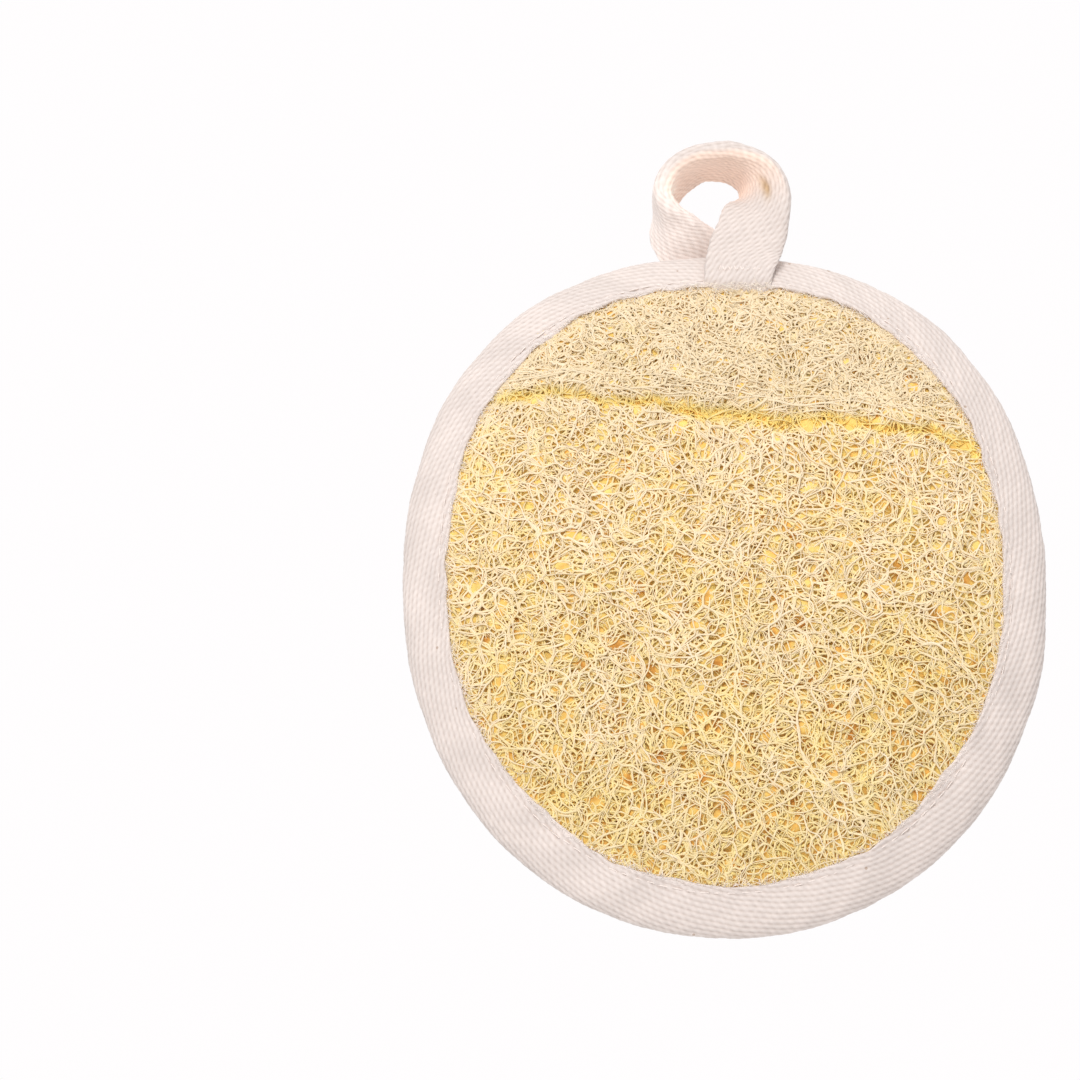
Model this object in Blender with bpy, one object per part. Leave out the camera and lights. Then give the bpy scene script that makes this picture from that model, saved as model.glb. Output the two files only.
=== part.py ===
"""Loofah scrubbing pad: loofah face, terry back, bound edge, hand strap and hanging loop.

The pad hangs from its loop. The origin is the inside top of the loop's eye, +Z runs from
the pad to the loop, -Y is the loofah side and +Y is the terry side with the strap.
"""

import math

import bmesh
import bpy
from mathutils import Vector

MM = 0.001

# Outline of the bound pad
PAD_WIDTH = 140.0
PAD_HEIGHT = 159.0
PAD_TOP_Z = -22.3
TOP_POWER = 2.28  # 2 is an ellipse, a little more is fuller
BOTTOM_POWER = 2.05
PAD_CENTRE_Z = PAD_TOP_Z - PAD_HEIGHT / 2
RIM_POINTS = 72

# Layers, as (inset from the rim, distance from the mid-plane); the last pair is a flat plateau
LOOFAH_FRONT = ((1.9, 1.1), (4.6, 3.0), (9.4, 5.5), (11.0, 6.9), (15.0, 8.9), (24.0, 11.0), (40.0, 12.0))
LOOFAH_BACK = ((1.9, 0.3), (10.0, 0.3), (24.0, 1.5))
CORE_FRONT = ((12.0, 0.1), (24.0, 1.2))
CORE_BACK = ((12.0, 0.9), (24.0, 3.4))
TERRY_FRONT = ((1.9, 0.3), (10.0, 0.3), (12.0, 1.3), (24.0, 3.75))
TERRY_BACK = ((1.9, 1.1), (4.6, 2.4), (9.4, 4.2), (11.0, 5.0), (15.0, 6.3), (24.0, 7.7), (40.0, 8.6))

# Binding tape folded over the edge, as (inset, y) round its section
TAPE = 1.1  # thickness of one layer of twill tape
BINDING_FRONT = ((0.0, 0.0), (0.4, 1.5), (1.6, 2.9), (4.2, 4.5), (9.4, 7.0))
BINDING_BACK = ((0.0, 0.0), (0.4, 1.4), (1.6, 2.6), (4.2, 3.8), (9.4, 5.6))
SEAM_INSET = 7.9
THREAD_R = 0.24
THREAD_LIFT = 0.2  # gap between a seam's thread and the tape under it

# Hand strap
STRAP_WIDTH = 28.0
STRAP_THICK = 1.3
STRAP_RISE = 30.0
STRAP_TUCK_INSET = 5.6  # how near the rim the sewn ends reach
STRAP_FOOT_INSET = 9.8  # where the strap leaves the binding
STRAP_Z = PAD_CENTRE_Z - 1.0
STRAP_STEPS = 30
STRAP_SINK = 1.75  # how far the strap's ends press the terry's edge down

# Hanging loop: centre line, width direction and width from the front foot over the top to the back foot
LOOP_THICK = 3.4
LOOP_FOOT_THICK = 1.5
LOOP_STEPS = 57
LOOP_ROUTE = (
    ((4.5, -8.5, -30.8), (1, 0, 0), 15.3), ((5, -6.7, -26.9), (1, 0, 0.02), 15.3),
    ((6, -4.9, -22.8), (1, -0.02, 0.02), 15.8), ((7.1, -4.3, -19.4), (1, -0.05, 0), 16.2),
    ((8.2, -3.9, -15.7), (0.98, -0.14, -0.06), 16.4), ((9.4, -3.3, -12), (0.93, -0.35, -0.1), 16),
    ((10.2, -2.5, -8.6), (0.82, -0.56, -0.1), 15.2), ((10.3, -1.6, -5.3), (0.66, -0.74, -0.06), 14.2),
    ((9, -0.9, -2.5), (0.5, -0.86, 0.03), 13.6), ((6.6, -0.4, -0.2), (0.36, -0.92, 0.1), 13.2),
    ((2.4, 0, 1.5), (0.14, -0.98, 0.12), 12.8), ((-3.2, 0, 1.3), (-0.06, -1, 0.12), 12.8),
    ((-8.3, 0.3, -1.6), (-0.16, -1, 0.1), 13.2), ((-11.5, 0.8, -6.9), (-0.1, -1, 0.06), 14),
    ((-11.3, 1.5, -12.4), (0.2, -0.9, 0.25), 14.2), ((-8.2, 2.4, -16.7), (0.4, -0.66, 0.55), 14),
    ((-4.4, 3.5, -19.8), (0.6, -0.3, 0.66), 14), ((-1.6, 4.9, -22.8), (0.85, 0, 0.42), 14.2),
    ((0.2, 5.9, -26.4), (1, 0, 0.15), 14.2), ((0.6, 7.1, -30.2), (1, 0, 0.05), 14.2),
)
LOOP_HINGE_Z = PAD_TOP_Z

# Bar tack across the loop's front foot
TACK_X = 4.9
TACK_Z = -27.4
TACK_WIDTH = 9.0
TACK_HEIGHT = 1.6
TACK_TEETH = 7


def clear_scene():
    for obj in list(bpy.data.objects):
        bpy.data.objects.remove(obj, do_unlink=True)


def material(name, colour, roughness):
    made = bpy.data.materials.new(name)
    made.use_nodes = True
    shader = made.node_tree.nodes["Principled BSDF"]
    shader.inputs["Base Color"].default_value = (*colour, 1.0)
    shader.inputs["Roughness"].default_value = roughness
    shader.inputs["Metallic"].default_value = 0.0
    made.diffuse_color = (*colour, 1.0)
    return made


def place(name, bm, look, pivot=(0.0, 0.0, 0.0)):
    """Makes an object from a bmesh in millimetres, with its origin at the pivot."""
    bmesh.ops.translate(bm, verts=bm.verts, vec=-Vector(pivot))
    bmesh.ops.scale(bm, verts=bm.verts, vec=(MM, MM, MM))
    bmesh.ops.recalc_face_normals(bm, faces=bm.faces)
    if bm.calc_volume(signed=True) < 0:
        bmesh.ops.reverse_faces(bm, faces=bm.faces)
    mesh = bpy.data.meshes.new(name)
    bm.to_mesh(mesh)
    bm.free()
    mesh.shade_smooth()
    mesh.set_sharp_from_angle(angle=math.radians(50))
    mesh.materials.append(look)
    obj = bpy.data.objects.new(name, mesh)
    obj.location = Vector(pivot) * MM
    bpy.context.scene.collection.objects.link(obj)
    return obj


def power_at(up):
    """The outline's fullness above or below the pad's centre."""
    return TOP_POWER if up > 0 else BOTTOM_POWER


def outline_point(angle, inset):
    """A point of the pad's outline, moved in from the rim by the inset."""
    power = power_at(math.sin(angle))

    def powered(value):
        return math.copysign(abs(value) ** (2 / power), value)

    x = (PAD_WIDTH / 2 - inset) * powered(math.cos(angle))
    z = (PAD_HEIGHT / 2 - inset) * powered(math.sin(angle))
    return x, PAD_CENTRE_Z + z


def rim_half_width(z):
    """Half the pad's width at a height, measured at the rim."""
    power = power_at(z - PAD_CENTRE_Z)
    across = min(abs(z - PAD_CENTRE_Z) / (PAD_HEIGHT / 2), 1.0)
    return PAD_WIDTH / 2 * (1 - across**power) ** (1 / power)


def ring(bm, inset, height):
    """One closed ring of vertices; height is a number or a function of the point."""
    made = []
    for i in range(RIM_POINTS):
        x, z = outline_point(2 * math.pi * i / RIM_POINTS, inset)
        y = height(x, z) if callable(height) else height
        made.append(bm.verts.new((x, y, z)))
    return made


def band(bm, first, second):
    """Faces between two closed rings."""
    count = len(first)
    for i in range(count):
        j = (i + 1) % count
        bm.faces.new((first[i], first[j], second[j], second[i]))


def panel(name, front, back, look, front_side=-1.0, back_side=1.0, sink=None):
    """A cushion-shaped layer between two profiles of (inset, distance from the mid-plane)."""
    bm = bmesh.new()
    sides = []
    for profile, side in ((front, front_side), (back, back_side)):
        rings = []
        for inset, away in profile:
            height = side * away
            if sink and side > 0 and profile is back:
                rings.append(ring(bm, inset, lambda x, z, h=height, d=inset: h - sink(x, z, d)))
            else:
                rings.append(ring(bm, inset, height))
        sides.append(rings)
    for rings in sides:
        for outer, inner in zip(rings, rings[1:]):
            band(bm, outer, inner)
        bm.faces.new(rings[-1])
    band(bm, sides[0][0], sides[1][0])
    return place(name, bm, look)


def ease(value):
    value = min(max(value, 0.0), 1.0)
    return value * value * (3 - 2 * value)


def strap_press(x, z, inset):
    """How far the strap's ends press the terry's edge down at a point."""
    along = 1 - ease((abs(z - STRAP_Z) - STRAP_WIDTH / 2 - 5.0) / 5.0)
    beside = 1.0 if abs(x) > PAD_WIDTH / 4 else 0.0
    depth = 1.0 if 4.0 < inset < 12.0 else 0.0
    shallow = 0.75 if inset < 5.0 else 1.0
    return STRAP_SINK * along * beside * depth * shallow


def profile_height(profile, inset):
    """Distance from the mid-plane at an inset, read along straight stretches of a profile."""
    for (d0, h0), (d1, h1) in zip(profile, profile[1:]):
        if inset <= d1:
            return h0 + (h1 - h0) * (inset - d0) / (d1 - d0)
    return profile[-1][1]


def loofah_panel(look):
    return panel("loofah_panel", LOOFAH_FRONT, LOOFAH_BACK, look, -1.0, -1.0)


def padding_core(look):
    return panel("padding_core", CORE_FRONT, CORE_BACK, look)


def terry_panel(look):
    return panel("terry_panel", TERRY_FRONT, TERRY_BACK, look, 1.0, 1.0, strap_press)


def binding_section():
    """The folded tape's section, outside from the front hem to the back hem and inside back again."""
    outside = [(d, -h) for d, h in reversed(BINDING_FRONT)] + [(d, h) for d, h in BINDING_BACK[1:]]
    inside = []
    for d, h in reversed(BINDING_BACK[2:]):
        inside.append((d if d > 9.0 else d + TAPE * 0.4, h - TAPE * (1.0 if d > 4.0 else 0.8)))
    inside.append((TAPE, 0.0))
    for d, h in BINDING_FRONT[2:]:
        inside.append((d if d > 9.0 else d + TAPE * 0.4, -h + TAPE * (1.0 if d > 4.0 else 0.8)))
    return outside + inside


def edge_binding(look):
    bm = bmesh.new()
    rings = [ring(bm, inset, y) for inset, y in binding_section()]
    for first, second in zip(rings, rings[1:] + rings[:1]):
        band(bm, first, second)
    return place("edge_binding", bm, look)


def topstitch(name, profile, side, look):
    """The seam's thread lying on the binding: a closed ring of round thread."""
    bm = bmesh.new()
    height = side * (profile_height(profile, SEAM_INSET) + THREAD_LIFT + THREAD_R)
    rings = []
    for i in range(6):
        turn = 2 * math.pi * i / 6
        rings.append(ring(bm, SEAM_INSET + THREAD_R * math.cos(turn), height + THREAD_R * math.sin(turn)))
    for first, second in zip(rings, rings[1:] + rings[:1]):
        band(bm, first, second)
    return place(name, bm, look)


def strap_height(share):
    """Centre height of the strap's tape; the share runs from 0 at the middle to 1 at the binding's hem."""
    foot = profile_height(BINDING_BACK, STRAP_FOOT_INSET) - TAPE - 0.25 - STRAP_THICK / 2
    return foot + STRAP_RISE * (1 - share * share)


def strap_stations():
    """(x at mid height, y) along the strap from one sewn end to the other."""
    foot_x = PAD_WIDTH / 2 - STRAP_FOOT_INSET
    stations = []
    for i in range(STRAP_STEPS + 1):
        share = -1 + 2 * i / STRAP_STEPS
        stations.append((foot_x * share, strap_height(abs(share))))
    slope = (BINDING_BACK[-1][1] - BINDING_BACK[-2][1]) / (BINDING_BACK[-1][0] - BINDING_BACK[-2][0])
    for inset in (STRAP_FOOT_INSET - 1.4, STRAP_TUCK_INSET):
        x = PAD_WIDTH / 2 - inset
        y = strap_height(1.0) - slope * (STRAP_FOOT_INSET - inset)
        stations.insert(0, (-x, y))
        stations.append((x, y))
    return stations


def strap_section(bm, x, y, normal):
    """One ring of the strap, following the rim's curve across its width."""
    made = []
    for side in (1, -1):
        steps = range(5) if side > 0 else range(4, -1, -1)
        for k in steps:
            z = STRAP_Z + STRAP_WIDTH * (k / 4 - 0.5)
            wide = rim_half_width(z) / rim_half_width(PAD_CENTRE_Z)
            offset = normal * (side * STRAP_THICK / 2)
            made.append(bm.verts.new((x * wide + offset.x, y + offset.y, z)))
    return made


def hand_strap(look):
    bm = bmesh.new()
    stations = strap_stations()
    rings = []
    for i, (x, y) in enumerate(stations):
        x0, y0 = stations[max(i - 1, 0)]
        x1, y1 = stations[min(i + 1, len(stations) - 1)]
        along = Vector((x1 - x0, y1 - y0)).normalized()
        rings.append(strap_section(bm, x, y, Vector((-along.y, along.x))))
    for first, second in zip(rings, rings[1:]):
        band(bm, first, second)
    bm.faces.new(rings[0])
    bm.faces.new(rings[-1])
    return place("hand_strap", bm, look, (0.0, 0.0, STRAP_Z))


def smooth_route(route, share):
    """Point, width direction and width on a smooth curve through the route, at a share of its spans."""
    spans = len(route) - 1
    at = min(int(share * spans), spans - 1)
    t = share * spans - at
    ids = [max(at - 1, 0), at, at + 1, min(at + 2, spans)]
    weights = (
        (-t + 2 * t * t - t**3) / 2,
        (2 - 5 * t * t + 3 * t**3) / 2,
        (t + 4 * t * t - 3 * t**3) / 2,
        (-t * t + t**3) / 2,
    )
    found = []
    for part in (0, 1):
        total = Vector((0.0, 0.0, 0.0))
        for weight, index in zip(weights, ids):
            total += weight * Vector(route[index][part])
        found.append(total)
    found.append(sum(weight * route[index][2] for weight, index in zip(weights, ids)))
    return found


def hanging_loop(look):
    """The folded tape swept along its route, thinner where it is sewn down."""
    shape = ((-1, 0), (-0.92, 0.75), (-0.5, 1), (0.5, 1), (0.92, 0.75))
    shape += tuple((-u, -v) for u, v in shape)
    bm = bmesh.new()
    rings = []
    for i in range(LOOP_STEPS + 1):
        share = i / LOOP_STEPS
        centre, wide, width = smooth_route(LOOP_ROUTE, share)
        before = smooth_route(LOOP_ROUTE, max(share - 0.005, 0.0))[0]
        after = smooth_route(LOOP_ROUTE, min(share + 0.005, 1.0))[0]
        along = (after - before).normalized()
        wide = (wide - along * wide.dot(along)).normalized()
        through = along.cross(wide)
        from_foot = min(share, 1 - share) * (len(LOOP_ROUTE) - 1)
        thick = LOOP_FOOT_THICK + (LOOP_THICK - LOOP_FOOT_THICK) * ease((from_foot - 2.0) / 2.5)
        points = [centre + wide * (u * width / 2) + through * (v * thick / 2) for u, v in shape]
        rings.append([bm.verts.new(p) for p in points])
    for first, second in zip(rings, rings[1:]):
        band(bm, first, second)
    bm.faces.new(rings[0])
    bm.faces.new(rings[-1])
    return place("hanging_loop", bm, look, (0.0, 0.0, LOOP_HINGE_Z))


def loop_tack(look):
    """A zigzag of thread on the loop's front foot."""
    curve = bpy.data.curves.new("loop_tack", "CURVE")
    curve.dimensions = "3D"
    curve.bevel_depth = THREAD_R * MM
    curve.bevel_resolution = 1
    curve.use_fill_caps = True
    spline = curve.splines.new("POLY")
    count = 2 * TACK_TEETH
    spline.points.add(count)
    for i in range(count + 1):
        x = TACK_X + TACK_WIDTH * (i / count - 0.5)
        z = TACK_Z + TACK_HEIGHT * (0.5 if i % 2 else -0.5)
        y = -7.0 + 0.45 * (z - TACK_Z) - LOOP_FOOT_THICK / 2 - THREAD_LIFT - THREAD_R
        spline.points[i].co = (x * MM, y * MM, z * MM, 1.0)
    curve.materials.append(look)
    obj = bpy.data.objects.new("loop_tack", curve)
    bpy.context.scene.collection.objects.link(obj)
    return obj


def build():
    clear_scene()
    loofah = material("dried_loofah", (0.80, 0.61, 0.29), 0.85)
    wadding = material("wadding", (0.86, 0.84, 0.80), 0.95)
    terry = material("terry_cotton", (0.91, 0.82, 0.74), 0.95)
    binding = material("binding_twill", (0.89, 0.79, 0.73), 0.9)
    loop = material("loop_twill", (0.90, 0.80, 0.74), 0.9)
    strap = material("strap_twill", (0.91, 0.81, 0.76), 0.9)
    needle = material("needle_thread", (0.90, 0.84, 0.77), 0.7)
    bobbin = material("bobbin_thread", (0.90, 0.84, 0.77), 0.7)
    tack = material("tack_thread", (0.90, 0.84, 0.77), 0.7)
    loofah_panel(loofah)
    padding_core(wadding)
    terry_panel(terry)
    edge_binding(binding)
    topstitch("front_topstitch", BINDING_FRONT, -1.0, needle)
    topstitch("back_topstitch", BINDING_BACK, 1.0, bobbin)
    hand_strap(strap)
    hanging_loop(loop)
    loop_tack(tack)


build()
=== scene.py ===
"""The look of the loofah scrubber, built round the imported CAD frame, in metres."""

import math

import bpy
import numpy as np
from mathutils import Matrix, Vector, geometry


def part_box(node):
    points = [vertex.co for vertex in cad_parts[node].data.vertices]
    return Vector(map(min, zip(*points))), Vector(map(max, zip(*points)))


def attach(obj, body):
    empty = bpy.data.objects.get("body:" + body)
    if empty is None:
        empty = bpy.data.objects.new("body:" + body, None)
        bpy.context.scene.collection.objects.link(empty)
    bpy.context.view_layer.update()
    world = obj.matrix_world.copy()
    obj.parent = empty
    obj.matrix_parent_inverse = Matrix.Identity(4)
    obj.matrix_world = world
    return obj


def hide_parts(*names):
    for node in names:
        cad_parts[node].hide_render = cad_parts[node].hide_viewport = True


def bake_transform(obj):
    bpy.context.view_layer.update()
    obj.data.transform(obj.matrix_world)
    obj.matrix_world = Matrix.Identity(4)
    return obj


MM = 0.001

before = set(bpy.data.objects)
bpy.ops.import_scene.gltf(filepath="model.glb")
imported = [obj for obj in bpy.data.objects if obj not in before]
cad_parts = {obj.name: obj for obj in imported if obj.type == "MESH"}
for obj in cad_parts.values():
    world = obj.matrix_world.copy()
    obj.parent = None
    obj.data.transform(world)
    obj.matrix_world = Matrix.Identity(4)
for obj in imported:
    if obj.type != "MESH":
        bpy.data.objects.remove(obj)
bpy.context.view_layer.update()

# ---------------------------------------------------------------- dimensions, millimetres
LOW, HIGH = (np.array(corner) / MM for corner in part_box("edge_binding"))
HALF_W = (HIGH[0] - LOW[0]) / 2
HALF_H = (HIGH[2] - LOW[2]) / 2
CENTRE_Z = (HIGH[2] + LOW[2]) / 2
TOP_POWER, BOTTOM_POWER = 2.28, 2.05
FRONT_Y = -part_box("loofah_panel")[0][1] / MM
HEM = 9.4  # how far in from the rim the binding reaches
CROWN = 40.0  # how far in the faces go on rising
LOOFAH_EDGE, LOOFAH_TOP = 6.25, FRONT_Y - 0.5
TERRY_EDGE, TERRY_TOP = 4.4, 8.1
SEAM = 7.9  # the seam's distance in from the rim
SEAM_FRONT, SEAM_BACK = 6.32, 5.06  # the binding's faces over the seam, from the mid-plane
STITCH = 2.9
THREAD = 0.15  # radius
TWILL_RIB, TWILL_STEP = 1.2, 1.9  # between ribs, and between the bars of one rib
TACK_X, TACK_Z = 4.9, -27.4


# ---------------------------------------------------------------- small maths
def waves(u, v, seed, size, count=7):
    """Smooth noise of about -1 to 1 over two coordinates in millimetres, with features of that size."""
    rng = np.random.default_rng(seed)
    total = np.zeros(np.broadcast(u, v).shape)
    for _ in range(count):
        turn, phase = rng.uniform(0, 2 * np.pi, 2)
        rate = 2 * np.pi / (size * rng.uniform(0.7, 1.8))
        total += np.sin((u * np.cos(turn) + v * np.sin(turn)) * rate + phase)
    return total / math.sqrt(count)


def ease(v):
    v = np.clip(v, 0.0, 1.0)
    return v * v * (3 - 2 * v)


def power_at(up):
    """The outline's fullness above or below the pad's centre."""
    return np.where(np.asarray(up) > 0, TOP_POWER, BOTTOM_POWER)


def outline(angle, inset):
    """(x, z) on the pad's outline, moved in from the rim."""
    c, s = np.cos(angle), np.sin(angle)
    power = power_at(s)
    x = (HALF_W - inset) * np.sign(c) * np.abs(c) ** (2 / power)
    z = (HALF_H - inset) * np.sign(s) * np.abs(s) ** (2 / power)
    return x, CENTRE_Z + z


def between(at, places, rows):
    """The row at each value, read between those at the places."""
    return np.stack([np.interp(at, places, column) for column in np.transpose(rows)], axis=-1)


def run_along(path):
    """How far along a path each of its points is."""
    return np.concatenate([[0], np.cumsum(np.linalg.norm(np.diff(path, axis=0), axis=1))])


def distance_round(inset, count):
    """Angles all the way round, and how far along the outline each one is."""
    angles = np.linspace(0, 2 * np.pi, count)
    return angles, run_along(np.stack(outline(angles, inset), axis=1))


def inset_of(x, z):
    """How far in from the rim a point is."""
    low = np.zeros(np.broadcast(x, z).shape)
    high = np.full_like(low, min(HALF_W, HALF_H) - 0.01)
    ax, az, power = np.abs(x), np.abs(z - CENTRE_Z), power_at(z - CENTRE_Z)
    for _ in range(22):
        mid = (low + high) / 2
        inside = (ax / (HALF_W - mid)) ** power + (az / (HALF_H - mid)) ** power < 1
        low, high = np.where(inside, mid, low), np.where(inside, high, mid)
    return (low + high) / 2


def dome(inset, edge, middle, fullness):
    """Height of a face that rises from the hem to the middle like a cushion."""
    x = np.clip((inset - HEM) / (CROWN - HEM), 0, 1)
    rise = edge + (middle - edge) * (1 - (1 - x) ** fullness)
    return np.where(inset < HEM, edge * (0.2 + 0.8 * np.clip(inset / HEM, 0, 1) ** 0.7), rise)


# The loofah's fold line, as (x, height above the pad's centre)
FOLD = (
    (-62, 46.5), (-48, 44.5), (-32, 43.0), (-17.6, 40.3), (-4, 38.6), (8.4, 36.0), (22, 35.6), (34.4, 34.4),
    (46, 32.8), (57, 30.3), (64, 28.5),
)


def fold_line(x):
    return np.interp(x, *np.transpose(FOLD))


def fold_depth(x, z):
    """1 on the fold line and 0 away from it, and how far above the line each point is."""
    line = fold_line(x) + CENTRE_Z
    line = line + 0.7 * np.sin(x * 0.31) + 0.4 * np.sin(x * 0.83 + 1.0)
    away = z - line
    wide = 1.7 + 0.5 * np.sin(x * 0.11 + 0.6)
    ends = ease((62 - np.abs(x - 4)) / 14)
    return np.exp(-((away / wide) ** 2)) * ends, away


def loofah_height(x, z):
    """Distance of the loofah's outer surface from the mid-plane."""
    inset = inset_of(x, z)
    high = dome(inset, LOOFAH_EDGE, LOOFAH_TOP, 3.2)
    groove, away = fold_depth(x, z)
    lip = np.exp(-(((away + 4.5) / 3.2) ** 2)) * 0.5 + np.exp(-(((away - 4.2) / 3.0) ** 2)) * 0.4
    bumps = 0.45 * waves(x, z, 11, 16) + 0.3 * waves(x, z, 12, 7)
    calm = ease((inset - HEM) / 8)
    return high + calm * (bumps * 0.8 + lip - 1.2 * groove)


# ---------------------------------------------------------------- meshes from arrays
def mesh_object(name, points, quads, body, colours=None, uvs=None, triangles=None, smooth=True):
    """An object from arrays: points in millimetres, quads and optional triangles of indices."""
    mesh = bpy.data.meshes.new(name)
    quads = np.asarray(quads)
    p = np.asarray(points, float)
    a, b, c, d = (p[quads[:, i]] for i in range(4))
    if np.einsum("ij,ij->", a, np.cross(b, c)) + np.einsum("ij,ij->", a, np.cross(c, d)) < 0:
        count = len(quads) * 4
        quads = quads[:, ::-1]
        if uvs is not None:
            head = np.asarray(uvs)[:count].reshape(-1, 4, 2)[:, ::-1].reshape(-1, 2)
            tail = np.asarray(uvs)[count:].reshape(-1, 3, 2)[:, ::-1].reshape(-1, 2)
            uvs = np.concatenate([head, tail])
        if triangles is not None:
            triangles = np.asarray(triangles)[:, ::-1]
    corners = [quads.astype(np.int32).reshape(-1)]
    sizes = [np.full(len(quads), 4, np.int32)]
    if triangles is not None and len(triangles):
        corners.append(np.asarray(triangles, np.int32).reshape(-1))
        sizes.append(np.full(len(triangles), 3, np.int32))
    corners, sizes = np.concatenate(corners), np.concatenate(sizes)
    mesh.vertices.add(len(points))
    mesh.vertices.foreach_set("co", (np.asarray(points, np.float32) * MM).reshape(-1))
    mesh.loops.add(len(corners))
    mesh.loops.foreach_set("vertex_index", corners)
    mesh.polygons.add(len(sizes))
    mesh.polygons.foreach_set("loop_start", np.concatenate([[0], np.cumsum(sizes)[:-1]]).astype(np.int32))
    mesh.update(calc_edges=True)
    if smooth:
        mesh.shade_smooth()
    if colours is not None:
        layer = mesh.color_attributes.new("tint", "FLOAT_COLOR", "POINT")
        rgba = np.ones((len(points), 4), np.float32)
        rgba[:, :3] = colours
        layer.data.foreach_set("color", rgba.reshape(-1))
    if uvs is not None:
        layer = mesh.uv_layers.new(name="OFBake")
        layer.data.foreach_set("uv", np.asarray(uvs, np.float32).reshape(-1))
    obj = bpy.data.objects.new(name, mesh)
    bpy.context.scene.collection.objects.link(obj)
    if body:
        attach(obj, body)
    return obj


UV_PIXELS = 1024


def grid_quads(rows, cols, closed=False):
    """Faces of a grid whose columns join up, and whose rows do too when closed."""
    i = np.arange(rows if closed else rows - 1)[:, None]
    j = np.arange(cols)[None, :]
    ii, jj = (i + 1) % rows, (j + 1) % cols
    return np.stack([i * cols + j, i * cols + jj, ii * cols + jj, ii * cols + j], axis=-1).reshape(-1, 4)


def capped_grid(grid):
    """Points, faces and end fans of a grid whose columns join up, with a point in the middle of each end."""
    rows, cols = grid.shape[:2]
    total = rows * cols
    points = np.concatenate([grid.reshape(-1, 3), [grid[0].mean(0)], [grid[-1].mean(0)]])
    k = np.arange(cols)
    kk = (k + 1) % cols
    start = np.stack([np.full(cols, total), kk, k], axis=-1)
    end = np.stack([np.full(cols, total + 1), total - cols + k, total - cols + kk], axis=-1)
    return points, grid_quads(rows, cols), np.concatenate([start, end])


def strip_uvs(lengths, sides):
    """Where each tube's strip starts in a square image, and the size of one step along and round it."""
    step = 4.0
    while True:
        row_height = sides * step * 0.45 + 2.0
        starts, x, y = [], 1.0, 1.0
        for n in lengths:
            need = (n - 1) * step + 2.0
            if x + need > UV_PIXELS - 1:
                x, y = 1.0, y + row_height
            starts.append((x, y))
            x += need
        if y + row_height < UV_PIXELS - 1 or step < 0.3:
            return np.array(starts), step, (row_height - 2.0) / sides
        step *= 0.93


ACROSS = (0.3, 0.2, 0.9)  # a direction that few hairs and loops run along


def tubes(name, paths, radii, colours=None, sides=4, ref=(0.0, 1.0, 0.0)):
    """Closed tubes along many paths, as one piece of the pad."""
    lengths = np.array([len(p) for p in paths])
    points = np.concatenate(paths)
    radius = np.concatenate(radii)[:, None]
    ends = np.cumsum(lengths)
    begins = ends - lengths
    inside = np.ones(len(points), bool)
    inside[ends - 1] = False
    last = np.flatnonzero(~inside)
    ahead = np.arange(len(points)) + 1
    ahead[last] = last
    behind = np.arange(len(points)) - 1
    behind[begins] = begins
    along = points[ahead] - points[behind]
    along /= np.linalg.norm(along, axis=1, keepdims=True) + 1e-9
    side = np.cross(along, np.array(ref))
    side /= np.linalg.norm(side, axis=1, keepdims=True) + 1e-9
    up = np.cross(side, along)
    turn = 2 * np.pi * (np.arange(sides) + 0.5) / sides
    out = np.cos(turn)[None, :, None] * side[:, None] + np.sin(turn)[None, :, None] * up[:, None]
    ring = points[:, None] + radius[:, None] * out
    first = np.flatnonzero(inside)
    k = np.arange(sides)
    a = first[:, None] * sides + k
    b = first[:, None] * sides + (k + 1) % sides
    quads = np.stack([a, b, b + sides, a + sides], axis=-1).reshape(-1, 4)
    starts, step, around = strip_uvs(lengths, sides)
    which = np.repeat(np.arange(len(paths)), lengths)
    local = np.arange(len(points)) - begins[which]
    u0 = (starts[which, 0] + local * step)[first]
    v0 = starts[which, 1][first]
    u = np.stack([u0, u0, u0 + step, u0 + step], axis=-1)[:, None, :].repeat(sides, axis=1)
    v = v0[:, None, None] + around * (k[None, :, None] + np.array([0, 1, 1, 0])[None, None, :])
    uvs = np.stack([u, v], axis=-1).reshape(-1, 2) / UV_PIXELS
    fan = np.stack([np.zeros(sides - 2, int), np.arange(1, sides - 1), np.arange(2, sides)], axis=-1)
    caps = [(begins[:, None, None] * sides + fan[None, :, ::-1]), (last[:, None, None] * sides + fan[None])]
    triangles = np.concatenate(caps).reshape(-1, 3)
    spot = np.repeat(starts, (sides - 2) * 3, axis=0)
    uvs = np.concatenate([uvs, np.concatenate([spot, spot]) / UV_PIXELS])
    tint = None if colours is None else np.repeat(np.concatenate(colours), sides, axis=0)
    return mesh_object(name, ring.reshape(-1, 3), quads, "pad", tint, uvs, triangles, smooth=False)


# ---------------------------------------------------------------- the loofah's net of fibres
def scatter(rng, cell, stretch):
    """Scattered points over the face, about a cell apart, denser at the top, stretched along z lower down."""
    reach_x, reach_z = HALF_W - 4.0, HALF_H - 4.0
    found = []
    z = -reach_z
    row = 0
    while z < reach_z:
        pitch = cell * (1.0 - 0.25 * ease((z - 22.0) / 22.0))
        count = int(2 * reach_x / pitch)
        xs = -reach_x + (np.arange(count) + 0.5 * (row % 2)) * pitch
        move = rng.uniform(-0.8, 0.8, (count, 2)) * pitch
        squeeze = 1.0 + (stretch - 1.0) * (1.0 - ease((z - 26.0) / 16.0))
        found.append(np.stack([xs + move[:, 0], np.full(count, z) + move[:, 1] * squeeze], axis=1))
        z += pitch * 0.87 * squeeze
        row += 1
    points = np.concatenate(found)
    keep = inset_of(points[:, 0], points[:, 1] + CENTRE_Z) > 5.0
    return points[keep]


def joined_pairs(first, second):
    """The pairs of owners that share a key."""
    order = np.argsort(first, kind="stable")
    key, owner = first[order], second[order]
    same = np.flatnonzero(key[1:] == key[:-1])
    return np.stack([owner[same], owner[same + 1]], axis=1)


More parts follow.
